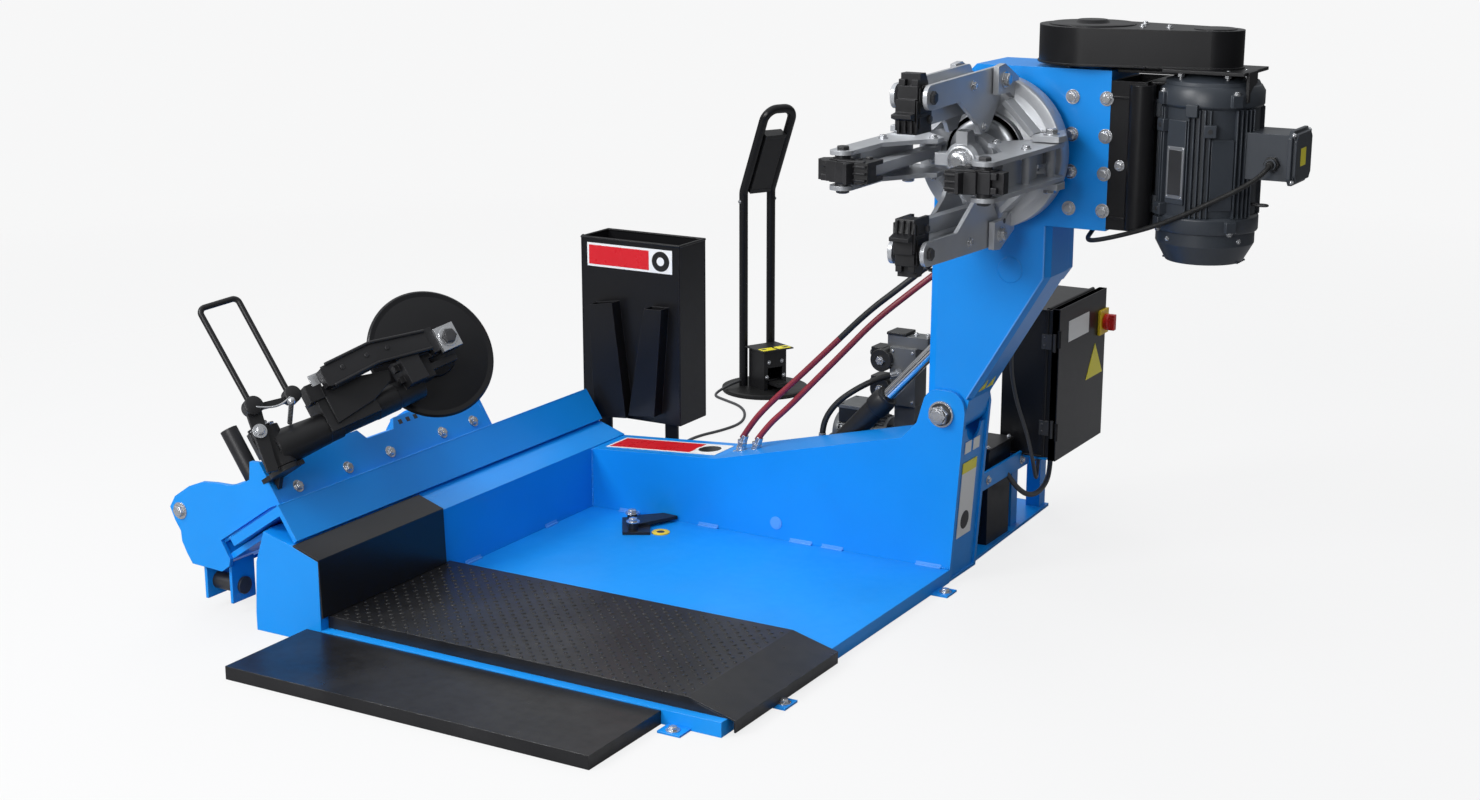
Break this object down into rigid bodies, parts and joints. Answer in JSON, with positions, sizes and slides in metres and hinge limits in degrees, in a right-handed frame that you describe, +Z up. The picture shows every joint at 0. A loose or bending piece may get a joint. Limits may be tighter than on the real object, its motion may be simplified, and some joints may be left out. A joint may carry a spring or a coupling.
{
  "type": "truck tyre changer",
  "caption": "Low wheel platform with a sliding tool carriage, a tilting arm with a four-jaw chuck and gear motor, a control cabinet and a separate foot console.",
  "frame": {"origin": "on the floor under the middle of the wheel platform", "axes": "+X along the ramp towards the arm, +Y away from the user, +Z up"},
  "size_m": [2.35, 3.014, 1.396],
  "materials": {
    "blue_paint": "satin blue enamel",
    "black_tread": "black coat over raised tread dots, worn by tyres",
    "black_paint": "satin black powder coat",
    "black_sheet": "fine-grained black sheet cover",
    "zinc": "zinc plated bolts and pins",
    "chuck_steel": "turned and phosphated steel",
    "arm_steel": "ground steel plates",
    "cast_black": "black cast steel",
    "rod_chrome": "hard chrome",
    "motor_paint": "dark blue-grey motor enamel",
    "pump_paint": "grey enamel",
    "black_plastic": "moulded black",
    "red_plastic": "moulded red",
    "belt_rubber": "wrapped belt",
    "hose_rubber": "black hose, red sleeve at the foot",
    "cable_rubber": "grey-black cable"
  },
  "bodies": {
    "base": {"platform_plate": "blue_paint", "tread_plate": "black_tread", "front_ramp": "black_tread", "anchor_brackets": "blue_paint", "wheel_stop": "black_paint", "side_beam": "blue_paint", "beam_cover": "black_sheet", "guide_rail": "blue_paint", "rear_wall": "blue_paint", "arm_pivot_pin": "zinc", "rear_base_plate": "blue_paint", "oil_tank": "black_paint", "valve_block": "pump_paint", "cabinet_body": "black_sheet", "tool_box": "black_sheet", "pedestal_base": "black_paint", "pedestal_frame": "black_paint", "control_panel": "black_sheet", "hose_unions": "zinc", "hose_one": "hose_rubber", "hose_two": "hose_rubber", "console_cable": "cable_rubber", "valve_hose": "hose_rubber", "arm_cable": "cable_rubber", "cabinet_cable": "cable_rubber"},
    "cabinet_door": {"cabinet_door": "black_sheet"},
    "main_switch": {"main_switch": "red_plastic"},
    "joystick_left": {"joystick_left": "black_plastic"},
    "joystick_right": {"joystick_right": "red_plastic"},
    "foot_pedal": {"foot_pedal": "black_paint"},
    "swing_arm": {"arm_beam": "blue_paint", "motor_bracket": "black_paint", "motor_body": "motor_paint", "drive_belt": "belt_rubber", "belt_guard": "black_sheet", "motor_cable": "cable_rubber"},
    "chuck": {"chuck_body": "arm_steel"},
    "worm_shaft": {"worm_shaft": "chuck_steel"},
    "motor_shaft": {"motor_shaft": "chuck_steel"},
    "spider": {"spider": "arm_steel"},
    "lift_barrel": {"lift_cylinder": "black_paint"},
    "lift_rod": {"lift_rod": "rod_chrome"},
    "carriage": {"carriage_frame": "blue_paint", "tool_post": "cast_black"},
    "tool_arm": {"tool_arm": "cast_black"},
    "tool_head": {"tool_hook": "cast_black"},
    "bead_disc": {"bead_disc": "black_sheet"},
    "lift_handle": {"lift_handle": "black_paint"},
    "clamp_arm_top": {"clamp_arm_top": "arm_steel"},
    "clamp_link_top": {"clamp_link_top": "arm_steel"},
    "clamp_jaw_top": {"clamp_jaw_top": "cast_black"},
    "clamp_arm_right": {"clamp_arm_right": "arm_steel"},
    "clamp_link_right": {"clamp_link_right": "arm_steel"},
    "clamp_jaw_right": {"clamp_jaw_right": "cast_black"},
    "clamp_arm_bottom": {"clamp_arm_bottom": "arm_steel"},
    "clamp_link_bottom": {"clamp_link_bottom": "arm_steel"},
    "clamp_jaw_bottom": {"clamp_jaw_bottom": "cast_black"},
    "clamp_arm_left": {"clamp_arm_left": "arm_steel"},
    "clamp_link_left": {"clamp_link_left": "arm_steel"},
    "clamp_jaw_left": {"clamp_jaw_left": "cast_black"}
  },
  "joints": [
    {"name": "arm_swing", "type": "hinge", "parent": "base", "child": "swing_arm", "pos_m": [0.519, 0.64, 0.432], "axis": [0, -1, 0], "range_deg": [0, 85], "deforming": ["hose_one", "hose_two", "arm_cable"]},
    {"name": "chuck_spin", "type": "hinge", "parent": "swing_arm", "child": "chuck", "pos_m": [0.652, 0.6, 1.094], "axis": [0, 1, 0], "continuous": true},
    {"name": "worm_spin", "type": "hinge", "parent": "swing_arm", "child": "worm_shaft", "pos_m": [0.832, 0.665, 1.1], "axis": [0, 0, 1], "continuous": true},
    {"name": "motor_spin", "type": "hinge", "parent": "swing_arm", "child": "motor_shaft", "pos_m": [1.125, 0.665, 1.1], "axis": [0, 0, 1], "continuous": true},
    {"name": "chuck_open", "type": "slide", "parent": "chuck", "child": "spider", "axis": [0, -1, 0], "range_m": [-0.017, 0.024]},
    {"name": "clamp_arm_top_turn", "type": "hinge", "parent": "chuck", "child": "clamp_arm_top", "pos_m": [0.652, 0.44, 1.272], "axis": [-1, 0, 0], "range_deg": [-10.5, 14.5]},
    {"name": "clamp_link_top_turn", "type": "hinge", "parent": "chuck", "child": "clamp_link_top", "pos_m": [0.652, 0.47, 1.222], "axis": [-1, 0, 0], "range_deg": [-10.5, 14.5]},
    {"name": "clamp_jaw_top_turn", "type": "hinge", "parent": "clamp_arm_top", "child": "clamp_jaw_top", "pos_m": [0.652, 0.09, 1.264], "axis": [-1, 0, 0], "range_deg": [-14.5, 10.5]},
    {"name": "clamp_arm_right_turn", "type": "hinge", "parent": "chuck", "child": "clamp_arm_right", "pos_m": [0.83, 0.44, 1.094], "axis": [0, 0, 1], "range_deg": [-10.5, 14.5]},
    {"name": "clamp_link_right_turn", "type": "hinge", "parent": "chuck", "child": "clamp_link_right", "pos_m": [0.78, 0.47, 1.094], "axis": [0, 0, 1], "range_deg": [-10.5, 14.5]},
    {"name": "clamp_jaw_right_turn", "type": "hinge", "parent": "clamp_arm_right", "child": "clamp_jaw_right", "pos_m": [0.822, 0.09, 1.094], "axis": [0, 0, 1], "range_deg": [-14.5, 10.5]},
    {"name": "clamp_arm_bottom_turn", "type": "hinge", "parent": "chuck", "child": "clamp_arm_bottom", "pos_m": [0.652, 0.44, 0.916], "axis": [1, 0, 0], "range_deg": [-10.5, 14.5]},
    {"name": "clamp_link_bottom_turn", "type": "hinge", "parent": "chuck", "child": "clamp_link_bottom", "pos_m": [0.652, 0.47, 0.966], "axis": [1, 0, 0], "range_deg": [-10.5, 14.5]},
    {"name": "clamp_jaw_bottom_turn", "type": "hinge", "parent": "clamp_arm_bottom", "child": "clamp_jaw_bottom", "pos_m": [0.652, 0.09, 0.924], "axis": [1, 0, 0], "range_deg": [-14.5, 10.5]},
    {"name": "clamp_arm_left_turn", "type": "hinge", "parent": "chuck", "child": "clamp_arm_left", "pos_m": [0.474, 0.44, 1.094], "axis": [0, 0, -1], "range_deg": [-10.5, 14.5]},
    {"name": "clamp_link_left_turn", "type": "hinge", "parent": "chuck", "child": "clamp_link_left", "pos_m": [0.524, 0.47, 1.094], "axis": [0, 0, -1], "range_deg": [-10.5, 14.5]},
    {"name": "clamp_jaw_left_turn", "type": "hinge", "parent": "clamp_arm_left", "child": "clamp_jaw_left", "pos_m": [0.482, 0.09, 1.094], "axis": [0, 0, -1], "range_deg": [-14.5, 10.5]},
    {"name": "lift_barrel_tilt", "type": "hinge", "parent": "base", "child": "lift_barrel", "pos_m": [0.038, 0.756, 0.147], "axis": [0, -1, 0], "range_deg": [-1, 7], "deforming": ["valve_hose"]},
    {"name": "lift_rod_slide", "type": "slide", "parent": "lift_barrel", "child": "lift_rod", "axis": [0.6794, 0, 0.7338], "range_m": [-0.2905, 0]},
    {"name": "carriage_slide", "type": "slide", "parent": "base", "child": "carriage", "axis": [0, 1, 0], "range_m": [0, 0.4]},
    {"name": "tool_arm_swing", "type": "hinge", "parent": "carriage", "child": "tool_arm", "pos_m": [-0.68111, -0.51557, 0.44251], "axis": [-0.5519, 0, 0.8339], "range_deg": [-65, 5]},
    {"name": "tool_head_turn", "type": "hinge", "parent": "tool_arm", "child": "tool_head", "pos_m": [-0.67448, -0.51557, 0.4325], "axis": [0.3524, 0.9063, 0.2333], "range_deg": [0, 180]},
    {"name": "disc_spin", "type": "hinge", "parent": "tool_head", "child": "bead_disc", "pos_m": [-0.55853, -0.06453, 0.58839], "axis": [-0.7558, 0.4226, -0.5002], "continuous": true},
    {"name": "lift_handle_tilt", "type": "hinge", "parent": "tool_arm", "child": "lift_handle", "pos_m": [-0.67019, -0.56606, 0.4893], "axis": [0.7558, -0.4226, 0.5002], "range_deg": [0, 35]},
    {"name": "door_hinge", "type": "hinge", "parent": "base", "child": "cabinet_door", "pos_m": [0.64, 1.016, 0.42], "axis": [0, 0, -1], "range_deg": [0, 110]},
    {"name": "main_switch_turn", "type": "hinge", "parent": "cabinet_door", "child": "main_switch", "pos_m": [0.64, 1.322, 0.534], "axis": [1, 0, 0], "range_deg": [0, 90]},
    {"name": "joystick_left_tilt", "type": "hinge", "parent": "base", "child": "joystick_left", "pos_m": [-0.81551, 2.04025, 0.83525], "axis": [0.4384, 0.8988, 0], "range_deg": [-12, 12], "stiffness_Nm_per_rad": 0.8},
    {"name": "joystick_right_tilt", "type": "hinge", "parent": "base", "child": "joystick_right", "pos_m": [-0.84741, 2.05581, 0.75912], "axis": [0.4384, 0.8988, 0], "range_deg": [-12, 12], "stiffness_Nm_per_rad": 0.8},
    {"name": "pedal_press", "type": "hinge", "parent": "base", "child": "foot_pedal", "pos_m": [-0.78264, 2.02422, 0.04], "axis": [0.4384, 0.8988, 0], "range_deg": [0, 10], "stiffness_Nm_per_rad": 6}
  ],
  "couplings": [
    {"joint": "worm_spin", "follows": "chuck_spin", "ratio": 30},
    {"joint": "motor_spin", "follows": "chuck_spin", "ratio": 60},
    {"joint": "lift_rod_slide", "follows": "arm_swing", "m_per_rad": -0.1956},
    {"joint": "clamp_arm_top_turn", "follows": "chuck_open", "rad_per_m": 10.2},
    {"joint": "clamp_link_top_turn", "follows": "chuck_open", "rad_per_m": 10.2},
    {"joint": "clamp_jaw_top_turn", "follows": "chuck_open", "rad_per_m": -10.2},
    {"joint": "clamp_arm_right_turn", "follows": "chuck_open", "rad_per_m": 10.2},
    {"joint": "clamp_link_right_turn", "follows": "chuck_open", "rad_per_m": 10.2},
    {"joint": "clamp_jaw_right_turn", "follows": "chuck_open", "rad_per_m": -10.2},
    {"joint": "clamp_arm_bottom_turn", "follows": "chuck_open", "rad_per_m": 10.2},
    {"joint": "clamp_link_bottom_turn", "follows": "chuck_open", "rad_per_m": 10.2},
    {"joint": "clamp_jaw_bottom_turn", "follows": "chuck_open", "rad_per_m": -10.2},
    {"joint": "clamp_arm_left_turn", "follows": "chuck_open", "rad_per_m": 10.2},
    {"joint": "clamp_link_left_turn", "follows": "chuck_open", "rad_per_m": 10.2},
    {"joint": "clamp_jaw_left_turn", "follows": "chuck_open", "rad_per_m": -10.2}
  ]
}
